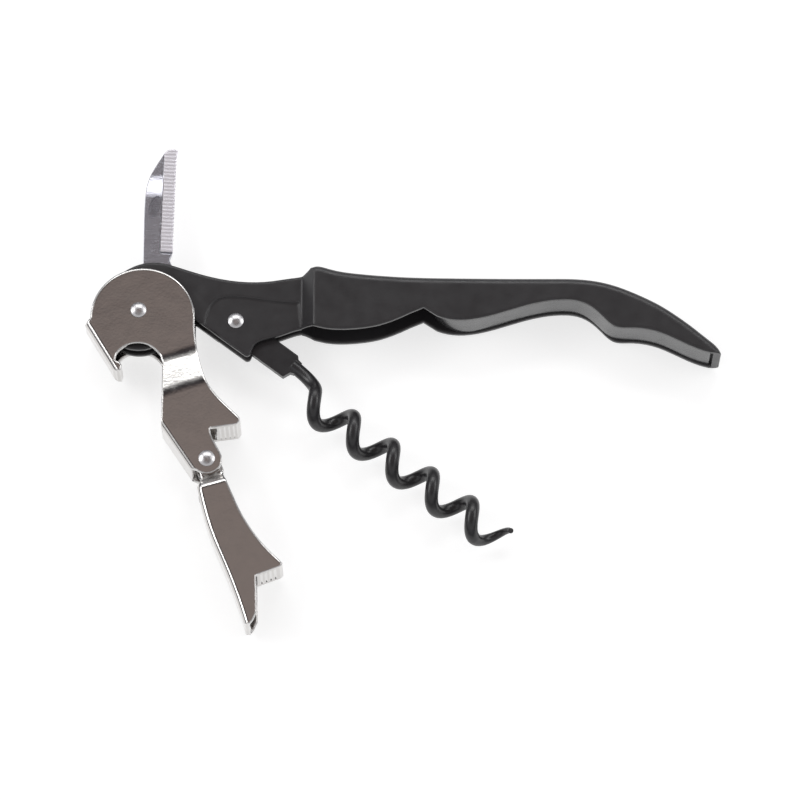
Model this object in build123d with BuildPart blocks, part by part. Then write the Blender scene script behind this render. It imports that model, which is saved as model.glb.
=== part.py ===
from build123d import *

import os
from math import asin, cos, degrees, pi, radians, sin

# Waiter's corkscrew lying on its side, with its two-step lever swung down.
#
# All four hinges turn about Z. X runs from the lever head to the tail of the grip.
# The flat shapes are drawn about the main pivot, on planes raised from the mid plane.

os.makedirs("parts", exist_ok=True)

# ---------------------------------------------------------------- frame
PIVOT_X = -50.008        # main pivot, measured from the centre of the whole outline
PIVOT_Y = 14.01
MID_Z = 5.5              # mid plane above the surface the corkscrew lies on

# ---------------------------------------------------------------- hinges
WORM_PIVOT = (18.4, -1.6)
FOOT_PIVOT = (13.3, -29.6)
WORM_ANGLE = -37.2       # direction of the worm as it lies
HEAD_TILT = 18.0         # how far the lever's shoulder line leans
FOOT_TILT = 16.0         # the same for the foot's shoulder line
HEAD_SOFTNESS = 11.0     # bend radius of the lever's shoulder
FOOT_SOFTNESS = 1.3

# ---------------------------------------------------------------- sheet and widths
SHELL_SHEET = 1.0
GRIP_HALF = 5.1          # half width of the grip
HEAD_HALF = 2.35         # half width of the narrow head of the frame
PRESS_DEPTH = 0.3        # depth of the panel pressed in around the worm rivet
BACK_BEND = 1.2          # outside radius along the back of the grip
LEVER_SHEET = 1.1
LEVER_BEND = 1.0         # outside radius of the lever's bends
CAP_BEND = 1.2           # the same at the cap lifter
LEVER_HEAD_HALF = 3.7
LEVER_ARM_HALF = 4.9
FOOT_EAR_HALF = 3.55
FOOT_ARM_HALF = 4.4
LEVER_REACH = 70         # cheeks are drawn this far down before they are cut to shape
CAP_TOP = (-10.1, -2.8)  # outer face of the cap lifter
CAP_END = (-4.75, -11.6)
HUB_THICKNESS = 1.7

# ---------------------------------------------------------------- foil knife
BLADE_THICKNESS = 1.2
TEETH = 25
TOOTH_PITCH = 0.72
EDGE_FROM = (6.15, 12.6) # heel of the cutting edge
EDGE_TO = (6.7, 32.4)
BEVEL_LEAN = 1.6         # how far the bevel's inner line leans from the blade's own line
NICK_HALF = (1.05, 2.4)  # half width and half length of the nail nick

# ---------------------------------------------------------------- rivets
PIN_R = 1.1
HEAD_R = 1.5
HEAD_RISE = 0.6
RIM_HEIGHT = 0.12        # straight part of a rivet's head
RUNNING = 0.06           # radial clearance of every hole that turns on a pin

# ---------------------------------------------------------------- worm
WIRE_R = 1.27
COIL_R = 2.62            # centre line radius of the helix
COIL_PITCH = 9.3
COIL_OFFSET = 3.74       # helix axis below the line through the worm pivot
COIL_START = 19.3        # distance from the pivot to the first crest
STEADY_TURNS = 4.5       # turns of full thickness
TAPER_TURNS = 0.53       # last part, drawn down to the point
POINT_R = 0.5
TURN_POINTS = 12         # guide points in each turn
TIP_POINTS = 10          # guide points along the last part

MID = Plane(origin=(PIVOT_X, PIVOT_Y, MID_Z))
PLAN = Plane(origin=(PIVOT_X, PIVOT_Y, MID_Z), x_dir=(1, 0, 0), z_dir=(0, -1, 0))


def edges_between(part, low, high):
    """Edges whose middle lies inside a box given about the main pivot, on both sides."""
    found = ShapeList()
    for edge in part.edges():
        point = edge @ 0.5
        local = (point.X - PIVOT_X, point.Y - PIVOT_Y, abs(point.Z - MID_Z))
        if all(a <= v <= b for a, v, b in zip(low, local, high)):
            found.append(edge)
    return found


# ================================================================ frame and grip
HEAD_TOP = [
    (-7.2, 1.3), (-5.75, 5.3), (-2.8, 8.15), (1.0, 9.75), (4.6, 9.7), (8.1, 8.7), (11.5, 7.6),
    (15.5, 6.6), (20.3, 6.0), (25.0, 6.15), (29.4, 6.8), (31.0, 7.1), (31.9, 7.6),
    (32.7, 8.25),
]
GRIP_TOP = [
    (32.7, 8.25), (34.0, 8.55), (35.4, 8.25), (37.4, 7.7), (40.8, 7.15), (45.5, 6.7),
    (51.0, 6.35), (60.0, 6.15), (70.0, 6.05), (78.3, 6.05), (82.5, 6.0), (86.5, 5.6),
    (90.6, 4.55), (94.6, 2.9), (98.7, 0.8), (102.0, -1.4), (105.0, -3.7), (107.8, -6.05),
    (109.6, -7.8), (110.25, -9.8),
]
CEILING = [
    (34.4, 7.35), (36.8, 6.8), (40.8, 6.2), (45.5, 5.7), (51.0, 5.35), (60.0, 5.15),
    (70.0, 5.05), (78.3, 5.05), (82.4, 5.0), (86.2, 4.65), (90.2, 3.65), (94.1, 2.05),
    (98.1, -0.05), (101.4, -2.25), (104.3, -4.45), (107.2, -6.85), (108.7, -8.2),
]
WAVE = [
    (108.2, -8.75), (104.2, -7.35), (98.6, -4.75), (93.4, -3.85), (90.3, -3.6), (87.9, -1.6),
    (85.6, 0.45), (83.4, 1.45), (80.8, 1.75), (74.1, 0.8), (66.0, -1.6), (61.5, -2.3),
    (56.6, -1.5),
]
POCKET_EDGE = [
    (51.4, -0.9), (48.6, -2.2), (45.6, -3.25), (42.3, -3.85), (38.5, -4.1), (35.0, -3.8),
    (31.6, -3.15), (29.2, -3.6), (26.6, -4.55), (24.2, -5.25), (22.4, -6.0), (21.5, -7.4),
]
PANEL_TOP = [
    (12.5, -2.5), (13.2, 0.6), (14.2, 2.1), (16.0, 3.0), (18.5, 3.1), (24.0, 2.45), (30.3, 1.95),
]


def plan_profile(half_head, half_grip, ramp_from, ramp_to, end, round_end):
    """Width of the frame seen from above: a narrow head, two ramps and a wide grip."""
    with BuildSketch(PLAN) as profile:
        with BuildLine():
            Polyline((-12, -half_head), (-12, half_head), (ramp_from, half_head),
                     (ramp_to, half_grip), (end, half_grip), (end, -half_grip),
                     (ramp_to, -half_grip), (ramp_from, -half_head), (-12, -half_head))
        make_face()
        ramp = profile.vertices().filter_by_position(
            Axis.X, PIVOT_X + ramp_from - 0.5, PIVOT_X + ramp_to + 0.5)
        fillet(ramp, radius=1.1)
        corners = profile.vertices().filter_by_position(
            Axis.X, PIVOT_X + end - 0.5, PIVOT_X + end + 0.5)
        fillet(corners, radius=round_end)
    return profile.sketch


OUTER_PLAN = plan_profile(HEAD_HALF, GRIP_HALF, 30.9, 33.2, 110.5, 3.0)
INNER_PLAN = plan_profile(HEAD_HALF - SHELL_SHEET, GRIP_HALF - SHELL_SHEET, 30.7, 33.1, 109.0, 2.0)

with BuildSketch(MID) as panel:
    with BuildLine():
        Spline(*PANEL_TOP)
        Polyline((30.3, 1.95), (31.2, -6.5), (21.0, -9.5), (12.5, -2.5))
    make_face()

with BuildPart() as pressed_away:
    extrude(panel.sketch, amount=GRIP_HALF, both=True)
    extrude(panel.sketch, amount=HEAD_HALF - PRESS_DEPTH, both=True, mode=Mode.SUBTRACT)

with BuildPart() as hollow:
    with BuildSketch(MID):
        with BuildLine():
            Spline(*CEILING)
            Polyline((108.7, -8.2), (108.7, -14), (-11, -14), (-11, 14), (34.4, 14), (34.4, 7.35))
        make_face()
    extrude(amount=GRIP_HALF, both=True)
    extrude(INNER_PLAN, amount=30, both=True, mode=Mode.INTERSECT)

with BuildPart() as handle_shell:
    # blank with the rounded back, and a plain block for the head
    with BuildSketch(MID):
        with BuildLine():
            Spline(*GRIP_TOP)
            Polyline((110.25, -9.8), (110.25, -14), (32.7, -14), (32.7, 8.25))
        make_face()
    extrude(amount=GRIP_HALF, both=True)
    fillet(edges_between(handle_shell, (32.8, 0, GRIP_HALF - 0.1), (109, 9, 6)), radius=BACK_BEND)
    with BuildSketch(MID):
        with Locations((11.35, 0)):
            Rectangle(42.7, 30)
    extrude(amount=GRIP_HALF, both=True)
    add(hollow.part, mode=Mode.SUBTRACT)
    # panel pressed in around the worm rivet, on both cheeks
    extrude(panel.sketch, amount=HEAD_HALF - PRESS_DEPTH, both=True)
    extrude(panel.sketch, amount=HEAD_HALF - SHELL_SHEET - PRESS_DEPTH, both=True, mode=Mode.SUBTRACT)
    add(pressed_away.part, mode=Mode.SUBTRACT)
    # outline of the cheeks and width from above
    with BuildSketch(MID):
        with BuildLine():
            ThreePointArc((7.2, 1.3), (0.0, -7.4), (-7.2, 1.3))
            Spline(*HEAD_TOP)
            Spline(*GRIP_TOP)
            Line((110.25, -9.8), (108.2, -8.75))
            Spline(*WAVE)
            Polyline((56.6, -1.5), (54.0, 0.2), (51.4, -0.9))
            Spline(*POCKET_EDGE)
            FilletPolyline((21.5, -7.4), (20.9, -9.0), (7.2, 1.3), radius=0.75)
        make_face()
        # the tail is cut off square
        Polygon((107.0, -8.7), (112, -9.0), (112, -12), (107.0, -12), align=None, mode=Mode.SUBTRACT)
    extrude(amount=30, both=True, mode=Mode.INTERSECT)
    extrude(OUTER_PLAN, amount=30, both=True, mode=Mode.INTERSECT)
    # rivet holes
    with BuildSketch(MID):
        with Locations((0, 0), WORM_PIVOT):
            Circle(PIN_R)
    extrude(amount=GRIP_HALF, both=True, mode=Mode.SUBTRACT)

handle_shell.part.label = "handle_shell"
export_step(handle_shell.part, "parts/handle_shell.step")

# ================================================================ filler of the grip
with BuildPart() as grip_insert:
    with BuildSketch(MID):
        with BuildLine():
            Spline((55.0, 4.9), (60.0, 5.1), (70.0, 5.0), (78.3, 5.0), (82.4, 4.95), (86.2, 4.6),
                   (90.2, 3.6), (94.1, 2.0), (98.1, -0.1), (101.4, -2.3), (104.3, -4.5),
                   (107.2, -6.9), (108.4, -7.9))
            Line((108.4, -7.9), (108.2, -8.4))
            Spline((108.2, -8.4), (104.2, -7.05), (98.6, -4.45), (93.4, -3.55), (89.9, -3.1),
                   (87.5, -1.1), (85.4, 0.75), (83.3, 1.75), (80.8, 2.05), (74.1, 1.1),
                   (66.0, -1.3), (61.5, -2.0), (58.4, -1.1), (56.2, 0.9), (55.0, 3.2))
            Line((55.0, 3.2), (55.0, 4.9))
        make_face()
    extrude(amount=GRIP_HALF - SHELL_SHEET, both=True)
    add(hollow.part, mode=Mode.INTERSECT)

grip_insert.part.label = "grip_insert"
export_step(grip_insert.part, "parts/grip_insert.step")


# ================================================================ rivets
def rivet(place, half_length, head_radius):
    """Pin along Z with a spherical head on both ends, on a short straight rim."""
    centre = Plane(origin=(PIVOT_X + place[0], PIVOT_Y + place[1], MID_Z))
    rise = HEAD_RISE - RIM_HEIGHT
    ball = (head_radius ** 2 + rise ** 2) / (2 * rise)
    with BuildPart() as made:
        with BuildSketch(centre):
            Circle(PIN_R)
        extrude(amount=half_length, both=True)
        for side in (1, -1):
            with BuildSketch(centre.offset(side * half_length)):
                Circle(head_radius)
            extrude(amount=side * RIM_HEIGHT)
            turned = Plane(origin=centre.offset(side * (half_length + HEAD_RISE - ball)).origin,
                           z_dir=(0, 0, side))
            with Locations(turned):
                Sphere(ball, arc_size1=degrees(asin((ball - rise) / ball)), align=None)
    return made.part


main_rivet = rivet((0, 0), LEVER_HEAD_HALF + 0.05, HEAD_R)
main_rivet.label = "main_rivet"
export_step(main_rivet, "parts/main_rivet.step")

worm_rivet = rivet(WORM_PIVOT, HEAD_HALF - PRESS_DEPTH, HEAD_R)
worm_rivet.label = "worm_rivet"
export_step(worm_rivet, "parts/worm_rivet.step")

foot_rivet = rivet(FOOT_PIVOT, LEVER_ARM_HALF, HEAD_R + 0.05)
foot_rivet.label = "foot_rivet"
export_step(foot_rivet, "parts/foot_rivet.step")

# ================================================================ washers beside the blade
for washer_name, side in (("washer_upper", 1), ("washer_lower", -1)):
    with BuildPart() as washer:
        with BuildSketch(MID.offset(side * (BLADE_THICKNESS / 2 + 0.05))):
            Circle(3.2)
            Circle(PIN_R, mode=Mode.SUBTRACT)
        extrude(amount=side * (HEAD_HALF - SHELL_SHEET - BLADE_THICKNESS / 2 - 0.05))
    washer.part.label = washer_name
    export_step(washer.part, "parts/" + washer_name + ".step")

# ================================================================ foil knife
BEVEL = Plane(origin=(PIVOT_X, PIVOT_Y, MID_Z),
              x_dir=(cos(radians(BEVEL_LEAN)), -sin(radians(BEVEL_LEAN)), 0),
              z_dir=(sin(radians(BEVEL_LEAN)), cos(radians(BEVEL_LEAN)), 0))

with BuildPart() as knife_blade:
    with BuildSketch(MID):
        Circle(4.2)
        with BuildLine():
            Polyline((0.65, 20.0), (0.6, 10.2), (-3.0, 2.9), (3.6, -2.1), (6.2, 9.6), (5.55, 11.0),
                     EDGE_FROM, EDGE_TO, (6.95, 33.2))
            ThreePointArc((6.95, 33.2), (5.6, 33.45), (4.3, 32.6))
            Spline((4.3, 32.6), (3.0, 30.4), (1.9, 28.4), (1.2, 26.4), (0.83, 24.2), (0.65, 20.0))
        make_face()
    extrude(amount=BLADE_THICKNESS / 2, both=True)
    # ground bevel along the cutting edge, on both faces
    with BuildSketch(BEVEL.offset(12.4)):
        with BuildLine():
            Polyline((3.3, 0.61), (7.5, 0.12), (7.5, 0.8), (3.3, 0.61))
        make_face()
        mirror(about=Plane.XZ)
    extrude(amount=22, mode=Mode.SUBTRACT)
    # nail nick in the upper face
    with BuildSketch(MID.offset(BLADE_THICKNESS / 2 - 0.25)):
        with Locations((2.65, 21.6)):
            Ellipse(*NICK_HALF, rotation=-14)
    extrude(amount=1, mode=Mode.SUBTRACT)
    with BuildSketch(MID):
        with Locations((0, 0)):
            Circle(PIN_R + RUNNING)
    extrude(amount=BLADE_THICKNESS, both=True, mode=Mode.SUBTRACT)
    # serrations along the cutting edge
    with BuildSketch(MID):
        for tooth in range(TEETH):
            rise = 1.6 + tooth * TOOTH_PITCH
            lean = (EDGE_TO[0] - EDGE_FROM[0]) / (EDGE_TO[1] - EDGE_FROM[1])
            with Locations((EDGE_FROM[0] + lean * rise + 0.12, EDGE_FROM[1] + rise)):
                Circle(0.3)
    extrude(amount=BLADE_THICKNESS, both=True, mode=Mode.SUBTRACT)

knife_blade.part.label = "knife_blade"
export_step(knife_blade.part, "parts/knife_blade.step")

# ================================================================ worm
ALONG = (cos(radians(WORM_ANGLE)), sin(radians(WORM_ANGLE)))
UPWARD = (-ALONG[1], ALONG[0])
WORM_PLANE = Plane(origin=(PIVOT_X + WORM_PIVOT[0], PIVOT_Y + WORM_PIVOT[1], MID_Z),
                   x_dir=(ALONG[0], ALONG[1], 0), z_dir=(0, 0, 1))


def coil_point(turn):
    """Point of the helix centre line, in the worm's own plane."""
    angle = 2 * pi * turn
    return (COIL_START + COIL_PITCH * turn, -COIL_OFFSET + COIL_R * cos(angle), COIL_R * sin(angle))


def world(point):
    """From the worm's own plane to the frame of the whole corkscrew."""
    return WORM_PLANE.from_local_coords(Vector(*point))


with BuildPart() as worm:
    # flattened hub
    with BuildSketch(WORM_PLANE):
        with BuildLine():
            Polyline((0, 2.2), (2.0, 1.95), (13.4, 1.9), (14.0, 1.3), (14.9, 1.15))
            Polyline((14.9, 1.15), (14.9, -1.35), (14.2, -1.6), (13.6, -3.1), (2.0, -3.1), (0, -2.2))
            ThreePointArc((0, -2.2), (-2.2, 0), (0, 2.2))
        make_face()
        Circle(PIN_R + RUNNING, mode=Mode.SUBTRACT)
    extrude(amount=HUB_THICKNESS / 2, both=True)
    # wire: a short lead, then the helix
    guide = [world((13.6, -0.1, 0)), world((16.4, -0.3, 0.05)), world((18.7, -0.8, 0.5))]
    steady = round(STEADY_TURNS * TURN_POINTS)
    helix = [world(coil_point(step / TURN_POINTS)) for step in range(1, steady + 1)]
    with BuildLine() as lead:
        Spline(*(guide + helix))
    with BuildSketch(Plane(origin=lead.line @ 0, z_dir=lead.line % 0)):
        Circle(WIRE_R)
    sweep(path=lead.line, is_frenet=False)

with BuildPart() as tip:
    points = [world(coil_point(STEADY_TURNS + TAPER_TURNS * step / TIP_POINTS))
              for step in range(TIP_POINTS + 1)]
    with BuildLine() as tip_line:
        Spline(*points, tangents=(lead.line % 1, points[-1] - points[-2]))
    with BuildSketch(Plane(origin=tip_line.line @ 0, z_dir=tip_line.line % 0)):
        Circle(WIRE_R)
    with BuildSketch(Plane(origin=tip_line.line @ 1, z_dir=tip_line.line % 1)):
        Circle(POINT_R)
    sweep(path=tip_line.line, multisection=True)

with worm:
    add(tip.part)
worm.part.label = "worm"
export_step(worm.part, "parts/worm.step")


# ================================================================ lever, upper half
def shoulder_band(plane, half_near, half_far, shoulder_from, shoulder_to, softness):
    """Both cheeks seen edge on: straight, a soft shoulder outwards, straight again."""
    with BuildSketch(plane) as band:
        with BuildLine() as edge:
            outside = FilletPolyline((half_near, -20), (half_near, shoulder_from),
                                     (half_far, shoulder_to), (half_far, LEVER_REACH),
                                     radius=softness)
            inside = FilletPolyline((half_near - LEVER_SHEET, -20),
                                    (half_near - LEVER_SHEET, shoulder_from + 0.2),
                                    (half_far - LEVER_SHEET, shoulder_to + 0.2),
                                    (half_far - LEVER_SHEET, LEVER_REACH), radius=softness)
            Line(outside @ 0, inside @ 0)
            Line(outside @ 1, inside @ 1)
        make_face()
        mirror(about=Plane.YZ)
    return band.sketch


def leaning(angle):
    """Plane seen along a shoulder line: X is the height, Y runs down the lever."""
    seen_along = Plane(origin=(PIVOT_X, PIVOT_Y, MID_Z), x_dir=(0, 0, 1),
                       z_dir=(cos(radians(angle)), sin(radians(angle)), 0))
    return seen_along.offset(-60)


with BuildPart() as lever_upper:
    extrude(shoulder_band(leaning(HEAD_TILT), LEVER_HEAD_HALF, LEVER_ARM_HALF,
                          10.6, 17.4, HEAD_SOFTNESS), amount=120)
    with BuildSketch(MID):
        with BuildLine():
            Line(CAP_TOP, (-9.1, -1.6))
            ThreePointArc((-9.1, -1.6), (0.8, 8.3), (10.65, -1.9))
            Spline((10.65, -1.9), (10.75, -4.5), (11.0, -6.6), (11.9, -10.9), (13.4, -15.0),
                   (15.6, -17.9), (18.0, -20.3), (19.3, -21.6))
            Polyline((19.3, -21.6), (19.5, -22.1), (18.9, -22.9), (13.9, -23.6))
            Spline((13.9, -23.6), (14.2, -25.3), (15.2, -27.3), (16.2, -29.5))
            ThreePointArc((16.2, -29.5), (13.9, -32.44), (11.4, -31.8))
            Polyline((11.4, -31.8), (10.2, -31.5), (4.6, -23.1), (4.7, -10.4), (4.2, -8.9))
            Spline((4.2, -8.9), (3.2, -7.7), (1.7, -6.8), (0.1, -6.5), (-1.5, -6.7), (-2.8, -7.3),
                   (-4.0, -8.5))
            Polyline((-4.0, -8.5), CAP_END, CAP_TOP)
        make_face()
    extrude(amount=LEVER_ARM_HALF, both=True, mode=Mode.INTERSECT)
    # cap lifter across the head
    with BuildSketch(MID):
        with BuildLine():
            Polyline((-4.5, -9.9), (-9.16, -2.23), (-9.1, -1.6), CAP_TOP, CAP_END, (-4.1, -12.0),
                     (-3.3, -11.9), (-3.05, -10.9), (-3.4, -10.3), (-4.5, -9.9))
        make_face()
    extrude(amount=LEVER_HEAD_HALF, both=True)
    # back of the arms and the first bottle step, across the arms
    with BuildSketch(MID):
        Polygon((4.6, -23.1), (10.2, -31.5), (11.1, -30.9), (5.5, -22.5), align=None)
        Polygon((14.9, -23.45), (18.9, -22.9), (19.5, -22.1), (19.0, -21.6), (14.8, -22.35),
                align=None)
    extrude(amount=LEVER_ARM_HALF, both=True)
    fillet(edges_between(lever_upper, (-8.4, -8.0, LEVER_HEAD_HALF - 0.1), (-6.4, -6.0, 4)),
           radius=CAP_BEND)
    fillet(edges_between(lever_upper, (6.5, -28, LEVER_ARM_HALF - 0.1), (8.5, -26.5, 5)),
           radius=LEVER_BEND)
    # teeth of the step
    with BuildSketch(MID):
        for tooth in range(4):
            with Locations((15.7 + 0.85 * tooth, -23.55 + 0.117 * tooth)):
                Rectangle(0.45, 0.45, rotation=45 + 7.8)
    extrude(amount=LEVER_ARM_HALF - LEVER_SHEET, both=True, mode=Mode.SUBTRACT)
    # holes
    with BuildSketch(MID):
        Circle(PIN_R + RUNNING)
        with Locations(FOOT_PIVOT):
            Circle(PIN_R)
    extrude(amount=LEVER_ARM_HALF, both=True, mode=Mode.SUBTRACT)

lever_upper.part.label = "lever_upper"
export_step(lever_upper.part, "parts/lever_upper.step")

# ================================================================ lever, foot
with BuildSketch(MID) as foot_outline:
    with BuildLine():
        ThreePointArc((11.67, -31.23), (13.3, -27.3), (15.5, -30.3))
        Line((15.5, -30.3), (16.4, -32.4))
        Spline((16.4, -32.4), (17.3, -34.4), (18.5, -37.2), (19.8, -40.0), (21.6, -43.0),
               (23.5, -45.6), (25.8, -48.1), (27.2, -49.4))
        Polyline((27.2, -49.4), (27.6, -49.9), (27.2, -50.4), (22.7, -52.1), (22.9, -59.0),
                 (22.2, -60.6), (21.6, -61.4), (20.6, -61.5))
        Spline((20.6, -61.5), (18.6, -55.4), (16.4, -49.8), (14.0, -44.0), (12.5, -39.2),
               (11.5, -34.9))
        Polyline((11.5, -34.9), (12.3, -33.4), (11.67, -31.23))
    make_face()

with BuildPart() as foot_back:
    with BuildSketch(MID):
        with BuildLine():
            Spline((13.0, -36.4), (13.6, -38.9), (15.1, -43.6), (17.5, -49.4), (19.7, -55.1),
                   (21.6, -61.2))
            Polyline((21.6, -61.2), (21.6, -63), (18, -63), (8, -45), (8, -36.6), (13.0, -36.4))
        make_face()
    extrude(amount=FOOT_ARM_HALF, both=True)
    extrude(foot_outline.sketch, amount=FOOT_ARM_HALF, both=True, mode=Mode.INTERSECT)

with BuildPart() as lever_foot:
    extrude(shoulder_band(leaning(FOOT_TILT), FOOT_EAR_HALF, FOOT_ARM_HALF,
                          35.3, 37.0, FOOT_SOFTNESS), amount=120)
    extrude(foot_outline.sketch, amount=FOOT_ARM_HALF, both=True, mode=Mode.INTERSECT)
    add(foot_back.part)
    # second bottle step across the foot, with its teeth
    with BuildSketch(MID):
        Polygon((22.7, -52.1), (27.2, -50.4), (27.6, -49.9), (27.2, -49.4), (22.4, -51.1),
                align=None)
    extrude(amount=FOOT_ARM_HALF, both=True)
    with BuildSketch(MID):
        for tooth in range(4):
            with Locations((23.7 + 0.85 * tooth, -51.85 + 0.321 * tooth)):
                Rectangle(0.45, 0.45, rotation=45 + 20.7)
    extrude(amount=FOOT_ARM_HALF - LEVER_SHEET, both=True, mode=Mode.SUBTRACT)
    with BuildSketch(MID):
        with Locations(FOOT_PIVOT):
            Circle(PIN_R + RUNNING)
    extrude(amount=LEVER_ARM_HALF, both=True, mode=Mode.SUBTRACT)
    fillet(edges_between(lever_foot, (13, -57, FOOT_ARM_HALF - 0.1), (20, -42, 5)),
           radius=LEVER_BEND)

lever_foot.part.label = "lever_foot"
export_step(lever_foot.part, "parts/lever_foot.step")
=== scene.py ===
"""Looks of the waiter's corkscrew: materials, floor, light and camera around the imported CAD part."""

from math import cos, pi, radians, sin

import bpy
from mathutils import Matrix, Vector


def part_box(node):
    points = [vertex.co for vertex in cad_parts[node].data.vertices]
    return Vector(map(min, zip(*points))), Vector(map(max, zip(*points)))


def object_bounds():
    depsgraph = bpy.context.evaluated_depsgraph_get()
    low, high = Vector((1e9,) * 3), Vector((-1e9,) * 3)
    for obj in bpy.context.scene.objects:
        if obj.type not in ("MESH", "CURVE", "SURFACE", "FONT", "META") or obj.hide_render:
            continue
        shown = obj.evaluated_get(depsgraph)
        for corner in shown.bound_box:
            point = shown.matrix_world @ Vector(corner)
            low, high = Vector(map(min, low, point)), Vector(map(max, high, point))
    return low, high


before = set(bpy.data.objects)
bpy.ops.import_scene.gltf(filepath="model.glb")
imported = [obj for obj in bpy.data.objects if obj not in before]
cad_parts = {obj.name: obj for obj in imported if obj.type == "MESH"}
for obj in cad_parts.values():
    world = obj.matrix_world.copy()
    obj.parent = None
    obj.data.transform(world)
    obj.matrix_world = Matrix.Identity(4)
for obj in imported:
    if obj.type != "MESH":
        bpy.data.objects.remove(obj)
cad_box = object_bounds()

MM = 0.001


def centre(node):
    low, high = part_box(node)
    return (low + high) / 2


PIVOT = centre("main_rivet")          # main hinge, where the blade's sizes are measured from

BEVEL_LINE = 3.38 * MM                # inner line of the blade's bevel, beside the hinge
BEVEL_LEAN = radians(1.6)
BEVEL_HEEL = 12.4 * MM                # where the bevel starts along the blade
TOOTH_PITCH = 0.72 * MM
NICK_CENTRE = PIVOT + Vector((2.65, 21.6, 0)) * MM
NICK_LEAN = radians(-14)
NICK_REACH = (1.5 * MM, 2.9 * MM, 50 * MM)
DIP_FROM = 23.4 * MM                  # shallow dip across the blade's flat
DIP_TO = 28.4 * MM
DIP_DEPTH = 0.68 * MM

CAMERA_ELEVATION = radians(73)
CAMERA_DISTANCE = 0.95
CAMERA_LENS = 226.1
CAMERA_TARGET = PIVOT + Vector((49.52, -16.7, 0)) * MM

scene = bpy.context.scene
scene.view_settings.view_transform = "Standard"
scene.view_settings.look = "None"


# ---------------------------------------------------------------- node helpers
class Finish:
    """A Principled material, with short names for the nodes that drive it."""

    def __init__(self, name, colour, roughness, metallic=0.0):
        self.material = bpy.data.materials.new(name)
        self.material.use_nodes = True
        self.tree = self.material.node_tree
        self.shader = self.tree.nodes["Principled BSDF"]
        self.shader.inputs["Base Color"].default_value = (*colour, 1)
        self.shader.inputs["Roughness"].default_value = roughness
        self.shader.inputs["Metallic"].default_value = metallic
        self.place = self.node("ShaderNodeTexCoord").outputs["Object"]

    def node(self, kind, **settings):
        made = self.tree.nodes.new(kind)
        for key, value in settings.items():
            setattr(made, key, value)
        return made

    def link(self, source, target):
        self.tree.links.new(source, target)

    def math(self, operation, a, b=0.0):
        made = self.node("ShaderNodeMath", operation=operation)
        for socket, value in zip(made.inputs, (a, b)):
            if isinstance(value, (int, float)):
                socket.default_value = value
            else:
                self.link(value, socket)
        return made.outputs[0]

    def noise(self, size, detail=3.0, rough=0.5, stretch=(1, 1, 1)):
        """Noise whose blotches are about size across, in metres."""
        place = self.place
        if stretch != (1, 1, 1):
            mapping = self.node("ShaderNodeMapping")
            mapping.inputs["Scale"].default_value = stretch
            self.link(self.place, mapping.inputs["Vector"])
            place = mapping.outputs[0]
        made = self.node("ShaderNodeTexNoise")
        made.inputs["Scale"].default_value = 1 / size
        made.inputs["Detail"].default_value = detail
        made.inputs["Roughness"].default_value = rough
        self.link(place, made.inputs["Vector"])
        return made.outputs["Fac"]

    def ranged(self, value, low, high, to_low, to_high, smooth=False):
        made = self.node("ShaderNodeMapRange")
        made.interpolation_type = "SMOOTHSTEP" if smooth else "LINEAR"
        for key, number in (("From Min", low), ("From Max", high), ("To Min", to_low), ("To Max", to_high)):
            made.inputs[key].default_value = number
        self.link(value, made.inputs["Value"])
        return made.outputs["Result"]

    def mixed(self, factor, low, high):
        """Colour between low and high. Either may be a colour or a socket."""
        made = self.node("ShaderNodeMix", data_type="RGBA")
        self.link(factor, made.inputs["Factor"])
        for socket, value in ((made.inputs[6], low), (made.inputs[7], high)):
            if isinstance(value, tuple):
                socket.default_value = (*value, 1)
            else:
                self.link(value, socket)
        return made.outputs[2]

    def rounded(self, radius):
        """Normal with every edge rounded."""
        bevel = self.node("ShaderNodeBevel", samples=8)
        bevel.inputs["Radius"].default_value = radius
        return bevel.outputs[0]

    def plain(self):
        return self.node("ShaderNodeNewGeometry").outputs["Normal"]

    def near_edge(self, rounded):
        """How far the rounded normal has turned: 0 on a flat, 1 on an edge."""
        dot = self.node("ShaderNodeVectorMath", operation="DOT_PRODUCT")
        self.link(rounded, dot.inputs[0])
        self.link(self.plain(), dot.inputs[1])
        return self.ranged(dot.outputs["Value"], 0.999, 0.93, 0.0, 1.0)

    def bumped(self, height, distance, normal):
        made = self.node("ShaderNodeBump")
        made.inputs["Distance"].default_value = distance
        made.inputs["Strength"].default_value = 1.0
        self.link(height, made.inputs["Height"])
        self.link(normal, made.inputs["Normal"])
        return made.outputs[0]

    def mapped(self, place, lean, scale=(1, 1, 1)):
        """Coordinates measured from a place, turned about Z and divided by a scale."""
        made = self.node("ShaderNodeMapping", vector_type="TEXTURE")
        made.inputs["Location"].default_value = place
        made.inputs["Rotation"].default_value = (0, 0, lean)
        made.inputs["Scale"].default_value = scale
        self.link(self.place, made.inputs["Vector"])
        return made.outputs[0]

    def use(self, **sockets):
        for key, value in sockets.items():
            self.link(value, self.shader.inputs[key.replace("_", " ")])

    def put_on(self, *nodes):
        for name in nodes:
            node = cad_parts[name]
            node.data.materials.clear()
            node.data.materials.append(self.material)


# ---------------------------------------------------------------- materials
def black_paint():
    """Satin powder coat: a fine grain and rounded edges, with a painted highlight that makes the edges a
    little lighter.
    """
    made = Finish("black_paint", (0.032, 0.03, 0.032), 0.4)
    normal = made.rounded(0.75 * MM)
    edge = made.near_edge(normal)
    normal = made.bumped(made.noise(0.35 * MM, 2.0), 0.006 * MM, normal)
    blotches = made.noise(9 * MM, 4.0)
    colour = made.mixed(blotches, (0.021, 0.0198, 0.0216), (0.03, 0.0286, 0.0305))
    # painted highlight: the colour is made a little lighter near every edge, where the edges catch the
    # light
    colour = made.mixed(edge, colour, (0.036, 0.0345, 0.0365))
    rough = made.ranged(made.noise(2.5 * MM, 3.0), 0.3, 0.7, 0.3, 0.4)
    made.use(Base_Color=colour, Roughness=rough, Normal=normal)
    return made


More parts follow.
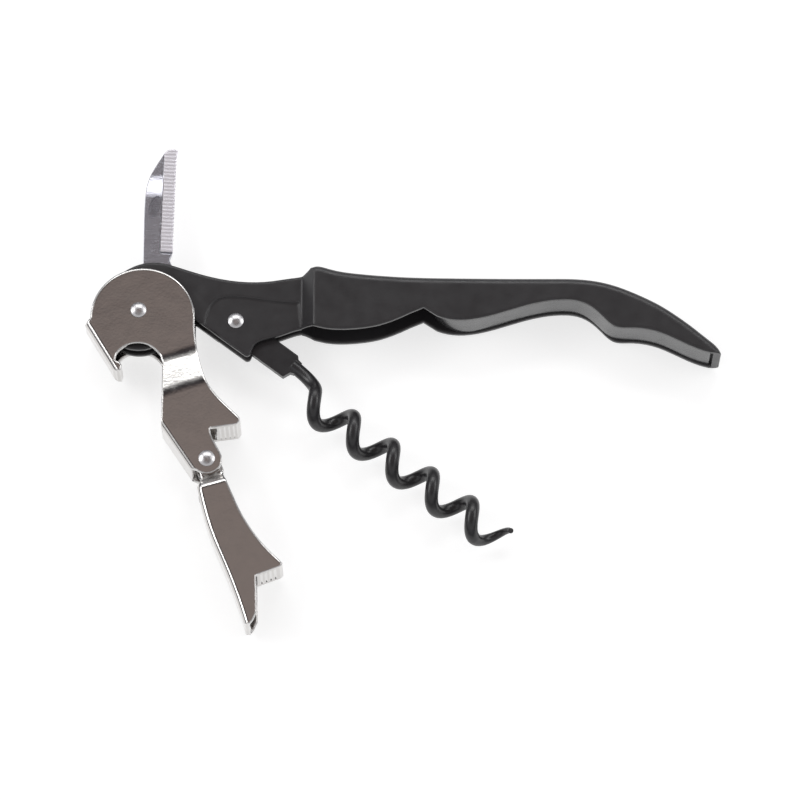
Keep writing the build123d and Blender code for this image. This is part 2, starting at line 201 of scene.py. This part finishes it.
def black_plastic():
    """Moulded plastic, smoother than the paint, with fine flow marks along the grip."""
    made = Finish("black_plastic", (0.03, 0.03, 0.032), 0.3)
    normal = made.rounded(0.3 * MM)
    flow = made.noise(0.8 * MM, 2.0, stretch=(0.25, 1, 1))
    normal = made.bumped(flow, 0.012 * MM, normal)
    rough = made.ranged(made.noise(3 * MM, 3.0), 0.3, 0.7, 0.2, 0.3)
    colour = made.mixed(made.noise(6 * MM), (0.026, 0.026, 0.028), (0.036, 0.036, 0.038))
    made.use(Base_Color=colour, Roughness=rough, Normal=normal)
    made.shader.inputs["Specular IOR Level"].default_value = 1.0
    return made


def bright_plate():
    """Bright plate over pressed sheet: slow waves, orange peel, and rounded edges with a painted highlight
    along them.
    """
    made = Finish("bright_plate", (0.62, 0.6, 0.585), 0.07, metallic=1.0)
    normal = made.rounded(0.6 * MM)
    edge = made.near_edge(normal)
    waves = made.noise(6 * MM, 1.0)
    peel = made.noise(0.5 * MM, 2.0)
    normal = made.bumped(waves, 0.05 * MM, normal)
    normal = made.bumped(peel, 0.009 * MM, normal)
    rough = made.ranged(made.noise(1.6 * MM, 4.0), 0.35, 0.75, 0.08, 0.17)
    colour = made.mixed(made.noise(4 * MM, 3.0), (0.58, 0.565, 0.55), (0.65, 0.632, 0.615))
    # painted highlight: the base colour is made much lighter near every edge, so the rims read white
    colour = made.mixed(edge, colour, (0.78, 0.77, 0.76))
    made.use(Base_Color=colour, Roughness=rough, Normal=normal)
    return made


def rivet_steel():
    made = Finish("rivet_steel", (0.6, 0.59, 0.6), 0.3, metallic=1.0)
    normal = made.rounded(0.1 * MM)
    normal = made.bumped(made.noise(0.3 * MM, 3.0), 0.008 * MM, normal)
    rough = made.ranged(made.noise(0.5 * MM, 3.0), 0.3, 0.7, 0.24, 0.38)
    made.use(Roughness=rough, Normal=normal)
    return made


def washer_steel():
    made = Finish("washer_steel", (0.55, 0.55, 0.56), 0.35, metallic=1.0)
    normal = made.rounded(0.1 * MM)
    normal = made.bumped(made.noise(0.4 * MM, 3.0), 0.006 * MM, normal)
    rough = made.ranged(made.noise(1 * MM, 3.0), 0.3, 0.7, 0.3, 0.45)
    made.use(Roughness=rough, Normal=normal)
    return made


def blade_steel():
    """Satin flats with a brighter ground bevel, grooved across at the pitch of the teeth."""
    made = Finish("blade_steel", (0.42, 0.41, 0.45), 0.32, metallic=1.0)
    # every edge is rounded, except that the nail nick keeps its crisp one
    reach = made.node("ShaderNodeVectorMath", operation="LENGTH")
    made.link(made.mapped(NICK_CENTRE, NICK_LEAN, NICK_REACH), reach.inputs[0])
    by_nick = made.ranged(reach.outputs["Value"], 1.0, 1.05, 1.0, 0.0)
    chosen = made.node("ShaderNodeMix", data_type="VECTOR")
    made.link(by_nick, chosen.inputs["Factor"])
    made.link(made.rounded(0.25 * MM), chosen.inputs[4])
    made.link(made.plain(), chosen.inputs[5])
    normal = chosen.outputs[1]
    # across and along the blade, from the foot of the bevel's inner line
    split = made.node("ShaderNodeSeparateXYZ")
    made.link(made.mapped(PIVOT + Vector((BEVEL_LINE, 0, 0)), -BEVEL_LEAN), split.inputs[0])
    across, along = split.outputs[0], split.outputs[1]
    past_line = made.ranged(across, 0.0, 0.12 * MM, 0.0, 1.0)
    past_heel = made.ranged(along, BEVEL_HEEL, BEVEL_HEEL + 0.4 * MM, 0.0, 1.0)
    bevel = made.math("MULTIPLY", past_line, past_heel)
    wave = made.math("SINE", made.math("MULTIPLY", along, 2 * pi / TOOTH_PITCH))
    groove = made.math("MULTIPLY", wave, bevel)
    # the flat falls once towards the point, so it catches the light above the nail nick
    dip = made.ranged(along, DIP_FROM, DIP_TO, 1.0, 0.0, smooth=True)
    flat = made.math("SUBTRACT", 1.0, bevel)
    grain = made.noise(0.35 * MM, 4.0)
    normal = made.bumped(made.math("MULTIPLY", dip, flat), DIP_DEPTH, normal)
    normal = made.bumped(made.math("MULTIPLY", grain, flat), 0.05 * MM, normal)
    normal = made.bumped(groove, 0.006 * MM, normal)
    # painted shade: the colour is darker inside the nail nick, where its hollow lies in shade
    painted_nick_shade = made.ranged(reach.outputs["Value"], 0.55, 0.85, 1.0, 0.0)
    colour = made.mixed(painted_nick_shade, (0.47, 0.47, 0.52), (0.34, 0.34, 0.38))
    colour = made.mixed(bevel, colour, (0.78, 0.76, 0.81))
    rough = made.ranged(bevel, 0.0, 1.0, 0.27, 0.42)
    made.use(Base_Color=colour, Roughness=rough, Normal=normal)
    return made


def worm_coating():
    """Smooth dark low-friction coating over drawn wire."""
    made = Finish("worm_coating", (0.019, 0.018, 0.0198), 0.36)
    normal = made.rounded(0.3 * MM)
    normal = made.bumped(made.noise(0.5 * MM, 2.0), 0.008 * MM, normal)
    rough = made.ranged(made.noise(2 * MM, 3.0), 0.3, 0.7, 0.27, 0.36)
    made.use(Roughness=rough, Normal=normal)
    return made


black_paint().put_on("handle_shell")
black_plastic().put_on("grip_insert")
bright_plate().put_on("lever_upper", "lever_foot")
rivet_steel().put_on("main_rivet", "worm_rivet", "foot_rivet")
washer_steel().put_on("washer_upper", "washer_lower")
blade_steel().put_on("knife_blade")
worm_coating().put_on("worm")


# ---------------------------------------------------------------- floor
def floor_material():
    """Pale matt sheet, lit a little from below as a light table is."""
    made = Finish("pale_floor", (0.46, 0.46, 0.46), 0.9)
    made.shader.inputs["Specular IOR Level"].default_value = 0.1
    made.shader.inputs["Emission Color"].default_value = (1, 1, 1, 1)
    made.shader.inputs["Emission Strength"].default_value = 0.68
    return made.material


def make_floor():
    half = 4.0
    mesh = bpy.data.meshes.new("floor")
    level = cad_box[0][2] - 0.02 * MM
    corners = [(-half, -half, level), (half, -half, level), (half, half, level), (-half, half, level)]
    mesh.from_pydata(corners, [], [(0, 1, 2, 3)])
    mesh.materials.append(floor_material())
    floor = bpy.data.objects.new("floor", mesh)
    scene.collection.objects.link(floor)


make_floor()


# ---------------------------------------------------------------- light
def soft_box(name, azimuth, elevation, distance, width, height, power):
    """Area light aimed at the middle of the object. Azimuth 0 is towards +X, 90 towards +Y."""
    light = bpy.data.lights.new(name, "AREA")
    light.shape = "RECTANGLE"
    light.size = width
    light.size_y = height
    light.energy = power
    lamp = bpy.data.objects.new(name, light)
    a, e = radians(azimuth), radians(elevation)
    towards = Vector((cos(a) * cos(e), sin(a) * cos(e), sin(e)))
    lamp.location = towards * distance
    lamp.rotation_euler = towards.to_track_quat("Z", "Y").to_euler()
    scene.collection.objects.link(lamp)


soft_box("left_box", 165, 40, 1.2, 0.7, 0.4, 3.6)
soft_box("right_box", 15, 38, 1.2, 0.7, 0.4, 2.4)
soft_box("back_box", 90, 45, 1.2, 1.0, 0.35, 3.6)


def surroundings():
    """White walls under a dim, slightly warm ceiling."""
    world = bpy.data.worlds.new("studio")
    scene.world = world
    world.use_nodes = True
    tree = world.node_tree
    place = tree.nodes.new("ShaderNodeTexCoord")
    split = tree.nodes.new("ShaderNodeSeparateXYZ")
    tree.links.new(place.outputs["Generated"], split.inputs[0])
    ramp = tree.nodes.new("ShaderNodeValToRGB")
    # sine of the height above the floor, and the light that comes from there
    bands = (
        (0.00, (0.10, 0.10, 0.11)),
        (0.30, (0.12, 0.12, 0.13)),
        (0.42, (0.72, 0.72, 0.74)),
        (0.80, (0.8, 0.8, 0.8)),
        (0.87, (0.03, 0.026, 0.03)),
        (0.915, (0.05, 0.042, 0.045)),
        (0.955, (0.30, 0.253, 0.238)),
    )
    stops = ramp.color_ramp.elements
    while len(stops) < len(bands):
        stops.new(0.5)
    for stop, (rise, colour) in zip(stops, bands):
        stop.position = rise
        stop.color = (*colour, 1)
    tree.links.new(split.outputs[2], ramp.inputs[0])
    tree.links.new(ramp.outputs[0], tree.nodes["Background"].inputs["Color"])
    tree.nodes["Background"].inputs["Strength"].default_value = 1.0


surroundings()


# ---------------------------------------------------------------- camera
def make_camera():
    data = bpy.data.cameras.new("camera")
    data.sensor_width = 36
    data.lens = CAMERA_LENS
    data.clip_start = 0.01
    data.clip_end = 20
    camera = bpy.data.objects.new("camera", data)
    towards = Vector((0, -cos(CAMERA_ELEVATION), sin(CAMERA_ELEVATION)))
    camera.location = CAMERA_TARGET + towards * CAMERA_DISTANCE
    camera.rotation_euler = towards.to_track_quat("Z", "Y").to_euler()
    scene.collection.objects.link(camera)
    scene.camera = camera


make_camera()
